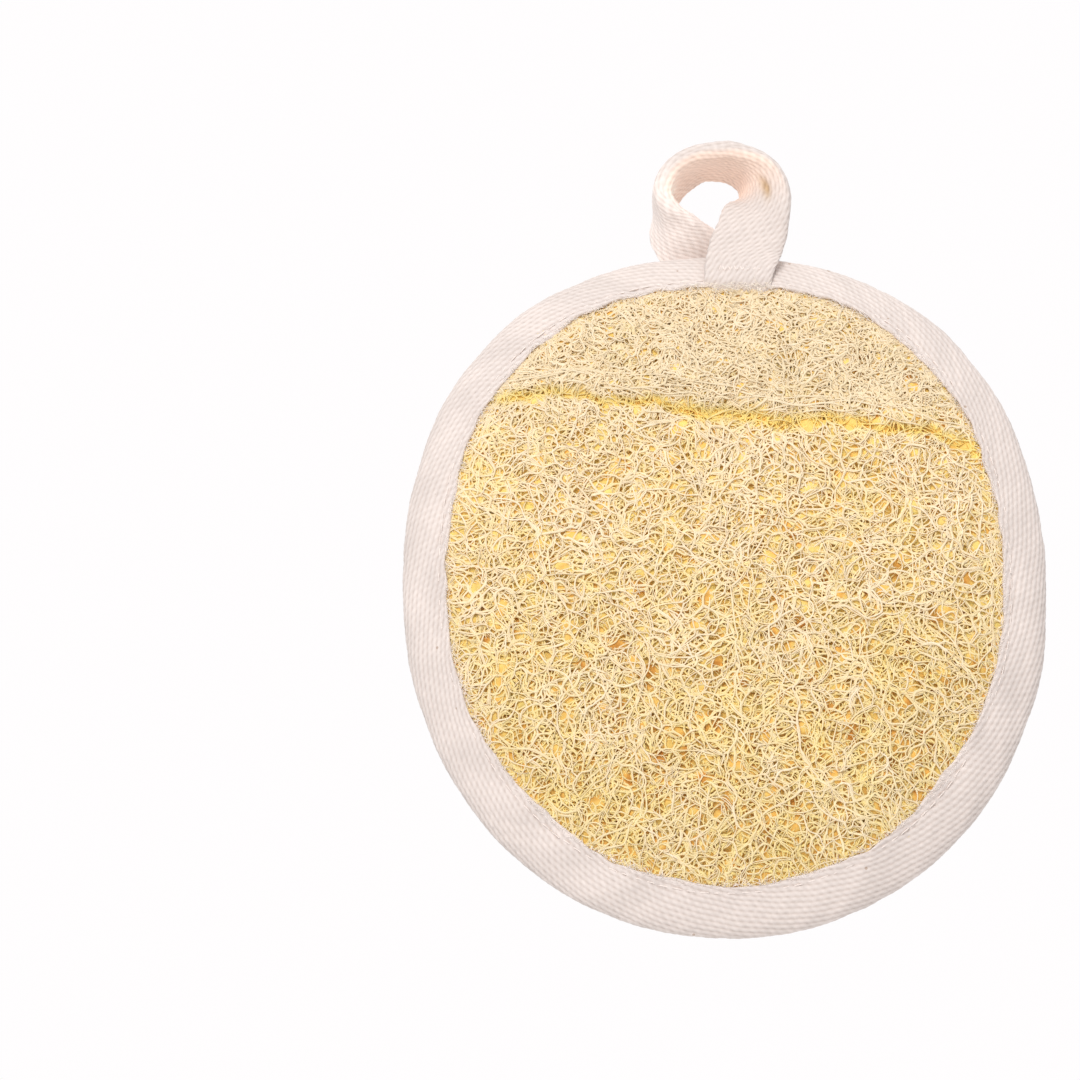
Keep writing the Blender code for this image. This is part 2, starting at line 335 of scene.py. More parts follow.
def cell_net(points):
    """Nodes and edges of the rings of cells round the points."""
    _, _, faces, _, _, _ = geometry.delaunay_2d_cdt([Vector(p) for p in points], [], [], 0, 1e-4)
    tri = np.array([f for f in faces if len(f) == 3])
    sides = np.sort(np.concatenate([tri[:, [0, 1]], tri[:, [1, 2]], tri[:, [2, 0]]]), axis=1)
    nodes = points[tri].mean(axis=1)
    key = sides[:, 0].astype(np.int64) * (len(points) + 1) + sides[:, 1]
    edges = joined_pairs(key, np.tile(np.arange(len(tri)), 3))
    length = np.linalg.norm(nodes[edges[:, 0]] - nodes[edges[:, 1]], axis=1)
    return nodes, edges[length < 9.0]


LONGEST_RUN = 14  # nodes of the net
STRAIGHTEST = 0.25  # least cosine at which a fibre runs on through a node


def net_paths(rng, nodes, edges):
    """Paths that run as straight as they can and use every edge once; their ends lean into a neighbour."""
    around = [[] for _ in range(len(nodes))]
    for i, (a, b) in enumerate(edges):
        around[a].append((i, b))
        around[b].append((i, a))
    used = np.zeros(len(edges), bool)

    def onward(previous, at, free):
        heading = nodes[at] - nodes[previous]
        best, found = (STRAIGHTEST if free else 0.1), None
        for i, other in around[at]:
            if other == previous or (free and used[i]):
                continue
            way = nodes[other] - nodes[at]
            cosine = heading @ way / (np.linalg.norm(heading) * np.linalg.norm(way) + 1e-9)
            if cosine > best:
                best, found = cosine, (i, other)
        return found

    paths = []
    for start in rng.permutation(len(edges)):
        if used[start]:
            continue
        used[start] = True
        run = [int(edges[start][0]), int(edges[start][1])]
        limit = rng.integers(3, LONGEST_RUN)
        for _ in range(2):
            while len(run) < limit:
                step = onward(run[-2], run[-1], True)
                if step is None:
                    break
                used[step[0]] = True
                run.append(int(step[1]))
            run.reverse()
        for _ in range(2):
            step = onward(run[-2], run[-1], False)
            if step is not None:
                run.append(int(step[1]))
            run.reverse()
        paths.append(run)
    return paths


# each control point's weight along a span, as powers of the share of the span
B_SPLINE = np.array([[1, -3, 3, -1], [4, 0, -6, 3], [1, 3, 3, -3], [0, 0, 0, 1]]) / 6
CATMULL_ROM = np.array([[0, -1, 2, -1], [2, 0, -5, 3], [0, 1, 4, -3], [0, 0, -1, 1]]) / 2


def spline(control, per_span, basis=B_SPLINE):
    """Points on a cubic curve along its control points, with its ends kept."""
    c = np.concatenate([2 * control[:1] - control[1:2], control, 2 * control[-1:] - control[-2:-1]])
    weights = np.linspace(0, 1, per_span, endpoint=False)[:, None] ** np.arange(4) @ basis.T
    spans = np.stack([c[:-3], c[1:-2], c[2:-1], c[3:]], axis=1)
    curve = np.einsum("tk,skd->std", weights, spans).reshape(-1, control.shape[1])
    return np.concatenate([curve, control[-1:]])


# PALE is the fibres' own colour; STRAW to BROWN paint the shade deeper in the net and on the bed
PALE = np.array([0.85, 0.70, 0.47])
STRAW = np.array([0.83, 0.67, 0.35])
YELLOW = np.array([0.89, 0.69, 0.215])
ORANGE = np.array([0.93, 0.53, 0.12])
BROWN = np.array([0.66, 0.28, 0.05])
BRIGHTEST = 0.98


def holes(x, z):
    """1 in the net's scattered holes, mostly low on the pad, and 0 elsewhere; z is from the centre."""
    low = 0.35 + 0.65 * ease((26 - z) / 50)
    return ease((waves(x, z, 41, 6.5) - 1.05) / 0.45) * low


def shade_fibres(x, z, depth, own):
    """Colour by depth under the surface, painted deeper yellow to brown with depth as painted shade between
    the layers, more so low on the pad and in the fold's groove, with random drifts.
    """
    groove, _ = fold_depth(x, z)
    low = ease((CENTRE_Z + 24 - z) / 80)
    patch = waves(x, z, 31, 22) * 0.5 + waves(x, z, 32, 8) * 0.35
    high = ease((z - CENTRE_Z - 34) / 10)
    # painted shade: fibres low on the pad and in the fold's groove are deepened in colour
    deep = depth / 1.6 + 0.16 * low + 0.68 * groove + 0.12 * patch - 0.14 * high
    colour = between(deep, (0.16, 0.42, 0.85, 1.3, 1.7), (PALE, STRAW, YELLOW, ORANGE, BROWN))
    # painted light: deeper fibres are lifted brighter, standing in for light that passes through the fibres
    lift = (1 + 0.14 * np.clip(depth, 0, 1) * (1 - 0.6 * low)) * (1 - 0.06 * high)
    return np.minimum(colour * lift[:, None] * (1 + own[:, None] * np.array([[0.5, 0.8, 1.6]])), BRIGHTEST)


def lay_fibres(name, curves, radii, own, sides, tint_depth=1.0):
    """One piece of fibres, each given as x, z from the centre and depth under the loofah's surface."""
    flat = np.concatenate(curves)
    x, z, depth = flat[:, 0], flat[:, 1] + CENTRE_Z, flat[:, 2]
    near_hem = 0.35 + 0.65 * ease((inset_of(x, z) - 8) / 8)
    height = loofah_height(x, z) - depth * near_hem
    tint = shade_fibres(x, z, depth * tint_depth, np.repeat(own, [len(c) for c in curves]))
    placed = np.column_stack([x, -height, z])
    cuts = np.cumsum([len(c) for c in curves])[:-1]
    return tubes(name, np.split(placed, cuts), radii, np.split(tint, cuts), sides)


def ends_in(count):
    """How many steps each point is from the nearer end."""
    return np.minimum(np.arange(count), np.arange(count)[::-1])


def tapered(size, count, tip=0.4, reach=3.0):
    """Radii along a fibre that thins towards both ends."""
    return size * (tip + (1 - tip) * ease((ends_in(count) + 0.4) / reach))


def fibre_net(name, seed, cell, depth, spread, radius, stretch=1.2, span=1, sides=4):
    """Two pieces that make one sheet of the net, at that depth and wandering by the spread."""
    rng = np.random.default_rng(seed)
    nodes, edges = cell_net(scatter(rng, cell, stretch))
    middles = nodes[edges].mean(axis=1)
    open_share = 0.92 * holes(middles[:, 0], middles[:, 1]) * (depth > 0.1)
    edges = edges[rng.uniform(size=len(edges)) > open_share]
    drift = [waves(nodes[:, 0], nodes[:, 1], seed + 7 + i, 10) for i in range(2)]
    nodes = nodes + 0.9 * np.stack(drift, axis=1)
    down = depth + rng.uniform(0, 1, len(nodes)) * spread
    down += 0.3 * spread * waves(nodes[:, 0], nodes[:, 1], seed + 5, 6)
    curves, radii, own = [], [], []
    for run in net_paths(rng, nodes, edges):
        control = np.column_stack([nodes[run], down[run]])
        middle = (control[1:] + control[:-1]) / 2
        middle[:, :2] += rng.normal(0, 0.12, (len(middle), 2)) * cell
        mixed = np.empty((len(control) + len(middle), 3))
        mixed[0::2], mixed[1::2] = control, middle
        curve = spline(mixed, span)
        size = radius * rng.choice([0.6, 0.8, 1.0, 1.3], p=[0.22, 0.3, 0.33, 0.15]) * rng.uniform(0.9, 1.1)
        groove, _ = fold_depth(curve[:, 0].mean(), curve[:, 1].mean() + CENTRE_Z)
        if rng.uniform() < max(0.6 * groove, 0.1) * (depth < 0.6):
            continue
        at_node = 0.5 + 0.5 * np.cos(np.arange(len(curve)) * np.pi / span)
        curves.append(curve)
        radii.append(tapered(size, len(curve), 0.45, 2.4) * (0.86 + 0.42 * at_node**2))
        own.append(rng.normal(0, 0.04))
    half = len(curves) // 2
    parts = ((1, slice(None, half)), (2, slice(half, None)))
    own = np.array(own)
    return [lay_fibres(f"{name}_{i}", curves[part], radii[part], own[part], sides) for i, part in parts]


def inside_face(x, z, inset):
    return inset_of(np.atleast_1d(x), np.atleast_1d(z) + CENTRE_Z) > inset


STRAND_STEP = 1.15


def long_strands(name, seed, count, radius):
    """Long fibres and bundles that dip into the net, mostly upright below the fold and across above it."""
    rng = np.random.default_rng(seed)
    curves, radii, own = [], [], []
    while len(curves) < count:
        x, z = rng.uniform(-HALF_W, HALF_W), rng.uniform(-HALF_H, HALF_H)
        if not inside_face(x, z, 9.0)[0]:
            continue
        above = z > 37 - 0.12 * x
        main = rng.normal(0.0, 0.45) if above else np.pi / 2 + rng.normal(0.05, 0.38)
        if rng.uniform() < 0.16:
            main = rng.uniform(0, np.pi)
        steps = rng.integers(6, 15) if above else rng.integers(8, 24)
        along = np.arange(steps) * STRAND_STEP
        heading = main + rng.uniform(0.15, 0.6) * np.sin(along / rng.uniform(1.3, 3.0) + rng.uniform(0, 6.3))
        heading += rng.normal(0, 0.022) * along
        move = STRAND_STEP * np.stack([np.cos(heading), np.sin(heading)], axis=1)
        control = np.array([x, z]) + np.cumsum(move, axis=0)
        dip = 0.1 + 0.7 * (0.5 + 0.5 * np.sin(along * rng.uniform(0.35, 0.9) + rng.uniform(0, 6.3)))
        dip = dip + 1.4 * (1 - ease(ends_in(steps) / 3.0))
        for strand in range(rng.choice([1, 1, 2, 3, 4])):
            across = rng.normal(0, 0.42, 2) * (strand > 0)
            drift = across[None] * np.linspace(-0.8, 1.4, steps)[:, None]
            keep = inside_face(control[:, 0] + drift[:, 0], control[:, 1] + drift[:, 1], 6.5)
            stop = steps if keep.all() else int(np.argmin(keep))
            if stop < 5:
                continue
            curve = spline(np.column_stack([control + drift, dip + 0.1 * strand])[:stop], 2)
            curves.append(curve)
            radii.append(tapered(radius * rng.uniform(0.6, 1.25), len(curve)))
            own.append(rng.normal(0.02, 0.04))
    return lay_fibres(name, curves, radii, np.array(own), 4, 0.6)


def lip_strands(name, seed, count, radius):
    """Long fibres along the upper lip of the fold, hanging a little over its groove."""
    rng = np.random.default_rng(seed)
    curves, radii, own = [], [], []
    for _ in range(count):
        start, reach = rng.uniform(-56, 48), rng.uniform(7, 22)
        x = np.arange(start, min(start + reach, 60), 1.1)
        if len(x) < 5:
            continue
        above = rng.uniform(0.6, 6.5) + 0.5 * np.sin(x / rng.uniform(1.5, 4) + rng.uniform(0, 6.3))
        above += np.linspace(rng.normal(0, 1.0), rng.normal(0, 1.0), len(x))
        z = fold_line(x) + above
        dip = 0.05 + 0.25 * rng.uniform() + 1.3 * (1 - ease(ends_in(len(x)) / 3.0))
        curve = spline(np.column_stack([x, z, dip]), 2)
        curves.append(curve)
        radii.append(tapered(radius * rng.uniform(0.7, 1.3), len(curve)))
        own.append(rng.normal(0.02, 0.03))
    return lay_fibres(name, curves, radii, np.array(own), 4, 0.4)


def short_rungs(name, seed, count, radius, deepest):
    """Short thin fibres that bridge the strands at every angle."""
    rng = np.random.default_rng(seed)
    x = rng.uniform(-HALF_W, HALF_W, count * 2)
    z = rng.uniform(-HALF_H, HALF_H, count * 2)
    keep = np.flatnonzero(inside_face(x, z, 7.5))[:count]
    x, z = x[keep], z[keep]
    turn = rng.uniform(0, np.pi, len(x))
    reach = rng.uniform(0.8, 2.3, len(x))
    bow = rng.normal(0, 0.5, len(x)) * reach
    t = np.linspace(-1, 1, 5)[None]
    across = bow[:, None] * (1 - t**2)
    px = x[:, None] + reach[:, None] * t * np.cos(turn)[:, None] - across * np.sin(turn)[:, None]
    pz = z[:, None] + reach[:, None] * t * np.sin(turn)[:, None] + across * np.cos(turn)[:, None]
    middle, slope = rng.uniform(0.05, deepest, len(x)), rng.normal(0, 0.35, len(x))
    depth = middle[:, None] + slope[:, None] * t + 0.5 * t**4
    curves = list(np.stack([px, pz, np.maximum(depth, 0.0)], axis=-1))
    size = radius * rng.uniform(0.65, 1.25, len(x))
    radii = list(size[:, None] * np.array([[0.75, 1.0, 0.9, 1.0, 0.75]]))
    return lay_fibres(name, curves, radii, rng.normal(0.0, 0.05, len(x)), 3)


def polar_shell(name, rings, around, front, back, tint=None, rim=2.4):
    """A closed cushion from the middle out to the rim, with a front and a back height for each point."""
    theta = np.linspace(0, 2 * np.pi, around, endpoint=False)
    ox, oz = outline(theta, rim)
    sides = []
    for height, count in zip((front, back), rings):
        share = np.maximum(np.linspace(0, 1, count) ** 0.9, 0.004)[:, None]
        x, z = ox * share, CENTRE_Z + (oz - CENTRE_Z) * share
        sides.append(np.stack([x, height(x, z), z], axis=-1))
    points, quads, fans = capped_grid(np.concatenate([sides[0], sides[1][::-1]]))
    size = 2.02 * max(HALF_W, HALF_H)
    flat_x = points[:, 0] / size
    flat_z = (points[:, 2] - CENTRE_Z) / size
    is_back = np.arange(len(points)) >= rings[0] * around
    is_back[-2] = False
    uv = np.stack([0.25 + flat_x * 0.48 + 0.5 * is_back, 0.5 + flat_z * 0.96], axis=-1)
    uvs = np.concatenate([uv[quads.reshape(-1)], uv[fans.reshape(-1)]])
    colours = None if tint is None else tint(points[:, 0], points[:, 2], is_back)
    return mesh_object(name, points, quads, "pad", colours, uvs, fans)


# ---------------------------------------------------------------- twill tape
def ribs(s, rank, seed, stray=None, step=TWILL_STEP, pitch=TWILL_RIB):
    """Height, 0 to 1, of twill ribs: s runs along the tape and rank counts millimetres from rib to rib."""
    stray = waves(s, rank, seed, 9) if stray is None else stray
    row = (rank + 0.10 * stray) / pitch
    index = np.floor(row)
    across = row - index - 0.5
    along = s / step + np.mod(index, 2) * 0.5 + 0.13 * np.sin(index * 12.9898) + 0.06 * stray
    bean = np.sqrt(np.clip(1 - (across / 0.56) ** 2, 0, 1))
    pinch = 0.5 + 0.5 * np.cos(2 * np.pi * (along + 0.45 * across))
    edge = np.abs(across) * 2
    return bean * (1 - 0.5 * pinch * (0.45 + 0.55 * edge**2))


def twill(s, t, angle, seed, stray=None, step=TWILL_STEP):
    """Height of herringbone twill at s along and t across a tape, its chevron meeting in the middle."""
    return ribs(s, np.abs(t) + s * math.tan(math.radians(angle)), seed, stray, step)


def grid_normals(p, wrap_rows, wrap_cols):
    """Unit normals of a grid of points."""
    def difference(axis, wrap):
        if wrap:
            return np.roll(p, -1, axis) - np.roll(p, 1, axis)
        return np.gradient(p, axis=axis)

    n = np.cross(difference(0, wrap_rows), difference(1, wrap_cols))
    return n / (np.linalg.norm(n, axis=-1, keepdims=True) + 1e-12)


def curve_through(points, count):
    """Evenly spaced points on a smooth curve through a few, and the curve's length."""
    curve = spline(np.array(points, float), 40, CATMULL_ROM)
    run = run_along(curve)
    return between(np.linspace(0, run[-1], count), run, curve), run[-1]


# The binding's section, as (distance in from the rim, y)
BINDING = (
    (HEM, -7.0), (6.8, -5.75), (4.2, -4.45), (1.7, -2.85), (0.45, -1.4), (0.0, 0.0),
    (0.45, 1.35), (1.7, 2.6), (4.2, 3.75), (6.8, 4.7), (HEM, 5.6),
)


BINDING_ROWS = 1000
BINDING_PATH = 3.0  # how far in from the rim the tape's length is measured


def edge_binding():
    section, tape = curve_through(BINDING, 91)
    fine, run = distance_round(BINDING_PATH, 6001)
    length, rows = run[-1], BINDING_ROWS
    s = np.linspace(0, length, rows, endpoint=False)
    # the weave repeats a whole number of times round the edge
    slant = round(length / TWILL_RIB * math.tan(math.radians(10.0))) * TWILL_RIB / length
    step = length / round(length / TWILL_STEP)
    angle = np.interp(s, run, fine)
    t = np.linspace(-tape / 2, tape / 2, len(section))
    S, T = np.meshgrid(s, t, indexing="ij")
    A = np.broadcast_to(angle[:, None], S.shape)
    cx, cz = outline(A, BINDING_PATH)
    side = np.sign(T) * 25
    inset = np.broadcast_to(section[:, 0], S.shape).copy()
    depth = np.broadcast_to(section[:, 1], S.shape).copy()
    hem = ease((np.abs(T) - tape / 2 + 5.0) / 5.0)
    inset += hem * (0.42 * waves(cx + side, cz, 51, 28) + 0.22 * waves(cx + side, cz, 52, 6))
    # the tape puckers a little between stitches along its seam
    seam = np.exp(-(((inset - SEAM) / 0.7) ** 2))
    pucker = 0.5 + 0.5 * np.cos(2 * np.pi * S / (length / round(length / STITCH)))
    x, z = outline(A, inset)
    p = np.stack([x, depth, z], axis=-1)
    n = grid_normals(p, True, False)
    if np.median(np.sum(n * np.stack([x, depth * 0, z - CENTRE_Z], axis=-1), axis=-1)) < 0:
        n = -n
    stray = waves(cx + side, cz, 61, 9)
    relief = twill(S, T, math.degrees(math.atan(slant)), 61, stray, step)
    lift = 0.36 * (relief - 0.6) - seam * (0.08 + 0.06 * pucker)
    lift += 0.14 * waves(cx + T, cz + T * 0.7, 63, 24) + 0.06 * waves(cx + 1.3 * T, cz - T, 64, 6)
    edge = np.clip((tape / 2 - np.abs(T)) / 0.4, 0, 1)
    lift = lift - 0.22 * (1 - np.sqrt(1 - (1 - edge) ** 2))
    p = p + n * lift[..., None]
    # the tape's inner face, as (distance under the outer face, column of the outer face)
    under = ((0.4, -1), (0.9, -6), (1.0, -16), (1.0, len(t) // 2), (1.0, 16), (0.9, 6), (0.4, 0))
    inner = [p[:, at] - n[:, at] * away for away, at in under]
    full = np.concatenate([p, np.stack(inner, axis=1)], axis=1)
    cols = full.shape[1]
    quads = grid_quads(rows, cols, closed=True)
    uvs = folded_uvs(rows, cols, 5).reshape(-1, 2)
    # painted shade: the binding is a little darker along the seam's pucker
    weave = np.concatenate([relief - 0.08 * seam, np.full((rows, len(inner)), 0.5)], axis=1)
    shade = np.concatenate([waves(cx + T, cz, 65, 12), np.zeros((rows, len(inner)))], axis=1)
    return mesh_object("binding_tape", full.reshape(-1, 3), quads, "pad", tape_colours(weave, shade), uvs)


def folded_uvs(rows, cols, folds):
    """Each quad's place in an image, for a long strip cut into several lengths laid one above another."""
    i = np.arange(rows)[:, None]
    j = np.arange(cols)[None, :]
    per = rows / folds
    block = np.floor(i / per)
    u0, u1 = (i - block * per) / per, (i + 1 - block * per) / per
    v0, v1 = (block + 0.04 + 0.92 * j / cols) / folds, (block + 0.04 + 0.92 * (j + 1) / cols) / folds
    u0, u1, v0, v1 = (np.broadcast_to(a, (rows, cols)) for a in (u0, u1, v0, v1))
    return np.stack([np.stack([u0, u0, u1, u1], -1), np.stack([v0, v1, v1, v0], -1)], -1) * 0.995 + 0.002


def sweep(centres, wides, section, lift, uv_folds):
    """A tape along its centre line, from its section and its weave's lift at each station."""
    along = np.gradient(centres, axis=0)
    along /= np.linalg.norm(along, axis=1, keepdims=True)
    wides = wides - along * np.sum(wides * along, axis=1, keepdims=True)
    wides /= np.linalg.norm(wides, axis=1, keepdims=True)
    through = np.cross(along, wides)
    p = centres[:, None] + wides[:, None] * section[..., 0:1] + through[:, None] * section[..., 1:2]
    n = grid_normals(p, False, True)
    outward = np.sum(n * (p - centres[:, None]), axis=-1)
    if np.median(outward) < 0:
        n = -n
    points, quads, fans = capped_grid(p + n * lift[..., None])
    uvs = folded_uvs(len(p) - 1, p.shape[1], uv_folds).reshape(-1, 2)
    return points, quads, fans, np.concatenate([uvs, np.full((len(fans) * 3, 2), 0.001)])


def rounded_tape(half_width, half_thick, around):
    """A flat tape's section with round edges: how far across and how far through it each point is."""
    flat = half_width - half_thick
    half = 2 * flat + np.pi * half_thick
    d = np.linspace(0, 2 * half, around, endpoint=False)
    back = d >= half
    d = d - half * back
    turn = np.maximum(d - 2 * flat, 0) / half_thick
    sign = 1 - 2 * back
    across = np.minimum(d, 2 * flat) - flat + half_thick * np.sin(turn)
    return sign * across, sign * half_thick * np.cos(turn)


INSIDE = 99.0  # marks the points inside the fold, where no weave shows


def folded_tape(half_width, half_thick, outer, inner):
    """A folded tape's section: across it, through it and along its weft, outside and then inside the fold."""
    layer = half_thick - 0.08
    flat = 2 * half_width - half_thick
    tape = 2 * flat + np.pi * half_thick
    d = np.linspace(0, tape, outer)
    turn = np.clip((d - flat) / half_thick, 0, np.pi)
    top = d < flat
    last = d > flat + np.pi * half_thick
    u = np.where(top, -half_width + d, half_width - half_thick + half_thick * np.sin(turn))
    u = np.where(last, half_width - half_thick - (d - flat - np.pi * half_thick), u)
    v = half_thick * np.cos(turn)
    hem = np.minimum(d, tape - d)
    v = np.sign(v) * (np.abs(v) - 0.45 * layer * (1 - np.sqrt(1 - np.clip(1 - hem / 0.6, 0, 1) ** 2)))
    e = np.linspace(1, 0, inner)
    ui = np.where(e < 0.5, -half_width + 0.15 + 2 * e * flat, -half_width + 0.15 + 2 * (1 - e) * flat)
    vi = np.where(e < 0.5, 0.07, -0.07) * np.where(np.abs(e - 0.5) < 0.02, 0.2, 1.0)
    across = np.concatenate([d - tape / 2, np.full(inner, INSIDE)])
    return np.concatenate([u, ui]), np.concatenate([v, vi]), across


# ---------------------------------------------------------------- hanging loop
LOOP_WIDTH, LOOP_THICK, LOOP_FOOT_THICK, LOOP_RIB = 14.6, 3.4, 1.3, 1.06
LOOP_ROWS = 360
LOOP_CREASE = 25.0  # how far along the tape its front leg creases
# (centre, width direction, width): front foot, over the top, back foot
LOOP_ROUTE = (
    ((4.1, -8.5, -30.8), (1, 0, 0), 14.4), ((4.9, -6.7, -26.9), (1, 0, 0.02), 15.2),
    ((6, -4.9, -22.8), (1, -0.02, 0.02), 15.8), ((7.1, -4.3, -19.4), (1, -0.05, 0), 16.2),
    ((8.5, -3.9, -15.7), (0.98, -0.14, -0.06), 15.8), ((9.9, -3.3, -12), (0.93, -0.35, -0.1), 14.7),
    ((10.6, -2.5, -8.6), (0.82, -0.56, -0.1), 14.2), ((10.3, -1.6, -5.3), (0.66, -0.74, -0.06), 14.2),
    ((9, -0.9, -2.5), (0.5, -0.86, 0.03), 13.6), ((6.6, -0.4, -0.2), (0.36, -0.92, 0.1), 13.2),
    ((2.4, 0, 1.5), (0.14, -0.98, 0.12), 12.8), ((-3.2, 0, 1.3), (-0.06, -1, 0.12), 12.8),
    ((-8.3, 0.3, -1.6), (-0.16, -1, 0.1), 13.2), ((-11.5, 0.8, -6.9), (-0.1, -1, 0.06), 14),
    ((-10.9, 1.5, -12.2), (0.2, -0.9, 0.25), 14), ((-8, 2.4, -16.5), (0.4, -0.66, 0.55), 13.6),
    ((-4.4, 3.5, -19.8), (0.6, -0.3, 0.66), 14), ((-1.6, 4.9, -22.8), (0.85, 0, 0.42), 14.2),
    ((0.2, 5.9, -26.4), (1, 0, 0.15), 14.2), ((0.6, 7.1, -30.2), (1, 0, 0.05), 14.2),
)
TAPE_HIGH = np.array([0.755, 0.675, 0.635])
# painted shade colour for the weave's valleys
TAPE_SHADED_VALLEY = np.array([0.49, 0.395, 0.345])
LINT = np.array([0.98, 0.91, 0.86])


def tape_colours(relief, pattern):
    # painted shade: the weave's valleys are darkened towards the shaded valley colour, and the pattern adds a
    # random tone drift
    share = np.clip(relief, 0, 1)[..., None] ** 0.8
    colour = TAPE_SHADED_VALLEY + (TAPE_HIGH - TAPE_SHADED_VALLEY) * share
    return (colour * (1 + 0.035 * pattern[..., None])).reshape(-1, 3)


def with_tips(colours):
    """The colours with two more, for the points in the middle of a swept tape's ends."""
    return np.concatenate([colours, colours[:1], colours[-1:]])


def hanging_loop():
    both, _ = curve_through([(*a, *b, c) for a, b, c in LOOP_ROUTE], 1200)
    s = run_along(both[:, :3])
    at = np.linspace(0, s[-1], LOOP_ROWS)
    stations = between(at, s, both)
    centres, wides, broad = stations[:, :3], stations[:, 3:6], stations[:, 6] / LOOP_WIDTH
    u, v, across = folded_tape(LOOP_WIDTH / 2, LOOP_THICK / 2, 112, 24)
    from_foot = np.minimum(at, s[-1] - at)
    thick = LOOP_FOOT_THICK + (LOOP_THICK - LOOP_FOOT_THICK) * ease((from_foot - 8.0) / 11.0)
    thick = thick * (1 - 0.75 * ease((2.4 - from_foot) / 2.4))
    # the feet lie flat on the binding and reach down to its hem
    centres[:, 1] += 0.75 * ease((9.0 - at) / 9.0) + 1.3 * ease((3.0 - at) / 3.0)
    to_end = s[-1] - at
    centres[:, 1] -= 1.0 * ease((9.0 - to_end) / 9.0) + 0.7 * ease((1.8 - to_end) / 1.8)
    centres[:, 2] -= 2.6 * ease((7.0 - at) / 7.0)
    S, T = np.meshgrid(at, across, indexing="ij")
    U = np.broadcast_to(u, S.shape) * broad[:, None]
    V = v[None, :] * (thick / LOOP_THICK)[:, None]
    free = ease((from_foot[:, None] - 10) / 10)
    swell = 1 + 0.12 * waves(S, U * 0.2, 71, 22) * free
    # the free part bellies: its middle stands proud of its edges on the outside of the loop
    cup = -0.7 * ((U / 7.3) ** 2 - 0.4) * free
    # the folded edge is fuller than the open one, most of all over the top
    share = at / s[-1]
    top = ease((0.26 - np.abs(share - 0.5)) / 0.12)[:, None]
    fuller = 1 + 0.34 * top * ease((U + 3.0) / 7.0)
    through = V * swell * fuller - 1.3 * (fuller - 1) + cup
    section = np.stack([U + 0.2 * waves(S, U * 0, 72, 18), through], axis=-1)
    # the ribs cross the legs on a slant and run straight over the top
    slant = np.radians(np.interp(share, [0, 0.22, 0.42, 0.62, 0.8, 1.0], [30, 27, 6, 4, 24, 26]))
    drift = np.concatenate([[0], np.cumsum(np.tan(slant[1:]) * np.diff(at))])[:, None]
    under = T < 0
    relief = ribs(S, np.where(under, T - drift, T + drift) + 40.0, 73, pitch=LOOP_RIB)
    woven = T < INSIDE
    crease = np.exp(-(((S - LOOP_CREASE) / 2.3) ** 2) - (U - 2.2) ** 2) * woven * (V < 0)
    lift = (0.34 * (relief - 0.6) + 0.18 * waves(S, T, 74, 6)) * woven - 0.9 * crease
    points, quads, fans, uvs = sweep(centres, wides, section, lift, 3)
    # painted shadow: the crease on the front leg is darkened
    colours = tape_colours(np.where(woven, relief - 0.5 * crease, 0.4), waves(S, T, 75, 11))
    # painted bounce light: the inside of the loop's top is warmed and lightened
    inward = (ease((0.1 - V) / 1.2) * top).reshape(-1, 1)
    # painted light: the loop's left curl is lightened, as if lit from the left
    curl = (ease((0.2 - np.abs(share - 0.76)) / 0.12)[:, None] * np.ones_like(V)).reshape(-1, 1)
    # painted shadow: the crease's pocket is darker and yellower still
    crease_shadow = crease.reshape(-1, 1)
    colours = colours * (0.98 + 0.3 * curl + inward * np.array([[0.26, 0.12, 0.02]]))
    colours = colours * (1.0 - crease_shadow * np.array([[0.14, 0.26, 0.5]]))
    colours = with_tips(np.minimum(colours, BRIGHTEST))
    return mesh_object("loop_tape", points, quads, None, colours, uvs, fans)


# ---------------------------------------------------------------- hand strap
STRAP_WIDTH, STRAP_THICK, STRAP_RISE = 28.0, 1.3, 30.0
STRAP_FOOT, STRAP_TUCK = 9.8, 5.6
STRAP_Z = CENTRE_Z - 1.0
STRAP_FOOT_Y = 3.6


def rim_half_width(z):
    power = power_at(z - CENTRE_Z)
    return HALF_W * (1 - np.abs((z - CENTRE_Z) / HALF_H) ** power) ** (1 / power)


def hand_strap():
    foot = HALF_W - STRAP_FOOT
    share = np.linspace(-1, 1, 61)
    line = [(foot * a, STRAP_FOOT_Y + STRAP_RISE * (1 - a * a)) for a in share]
    slope = (5.6 - 3.8) / (HEM - 4.2)  # of the binding's back face
    for inset in (STRAP_FOOT - 1.4, STRAP_TUCK):
        x, y = HALF_W - inset, STRAP_FOOT_Y - slope * (STRAP_FOOT - inset)
        line.insert(0, (-x, y))
        line.append((x, y))
    curve, length = curve_through([(x, y, STRAP_Z) for x, y in line], 420)
    s = np.linspace(0, length, len(curve))
    u, v = rounded_tape(STRAP_WIDTH / 2, STRAP_THICK / 2, 190)
    S, U = np.meshgrid(s, u, indexing="ij")
    V = np.broadcast_to(v, S.shape)
    fade = ease(np.minimum(S, length - S) / 14.0)
    sag = fade * (0.25 * waves(S, U * 0.6, 81, 40) - 0.4 * (U / 14.0) ** 2)
    section = np.stack([U + 0.12 * waves(S, U * 0, 82, 25), V + sag], axis=-1)
    relief = twill(S, U, 6.0, 83)
    lift = 0.2 * (relief - 0.6) + 0.03 * waves(S, U, 84, 5)
    wides = np.tile(np.array([0.0, 0.0, 1.0]), (len(curve), 1))
    points, quads, fans, uvs = sweep(curve, wides, section, lift, 4)
    points[:, 0] *= rim_half_width(points[:, 2]) / rim_half_width(CENTRE_Z)
    colours = with_tips(tape_colours(relief, waves(S, U, 85, 14)))
    return mesh_object("strap_tape", points, quads, None, colours, uvs, fans)


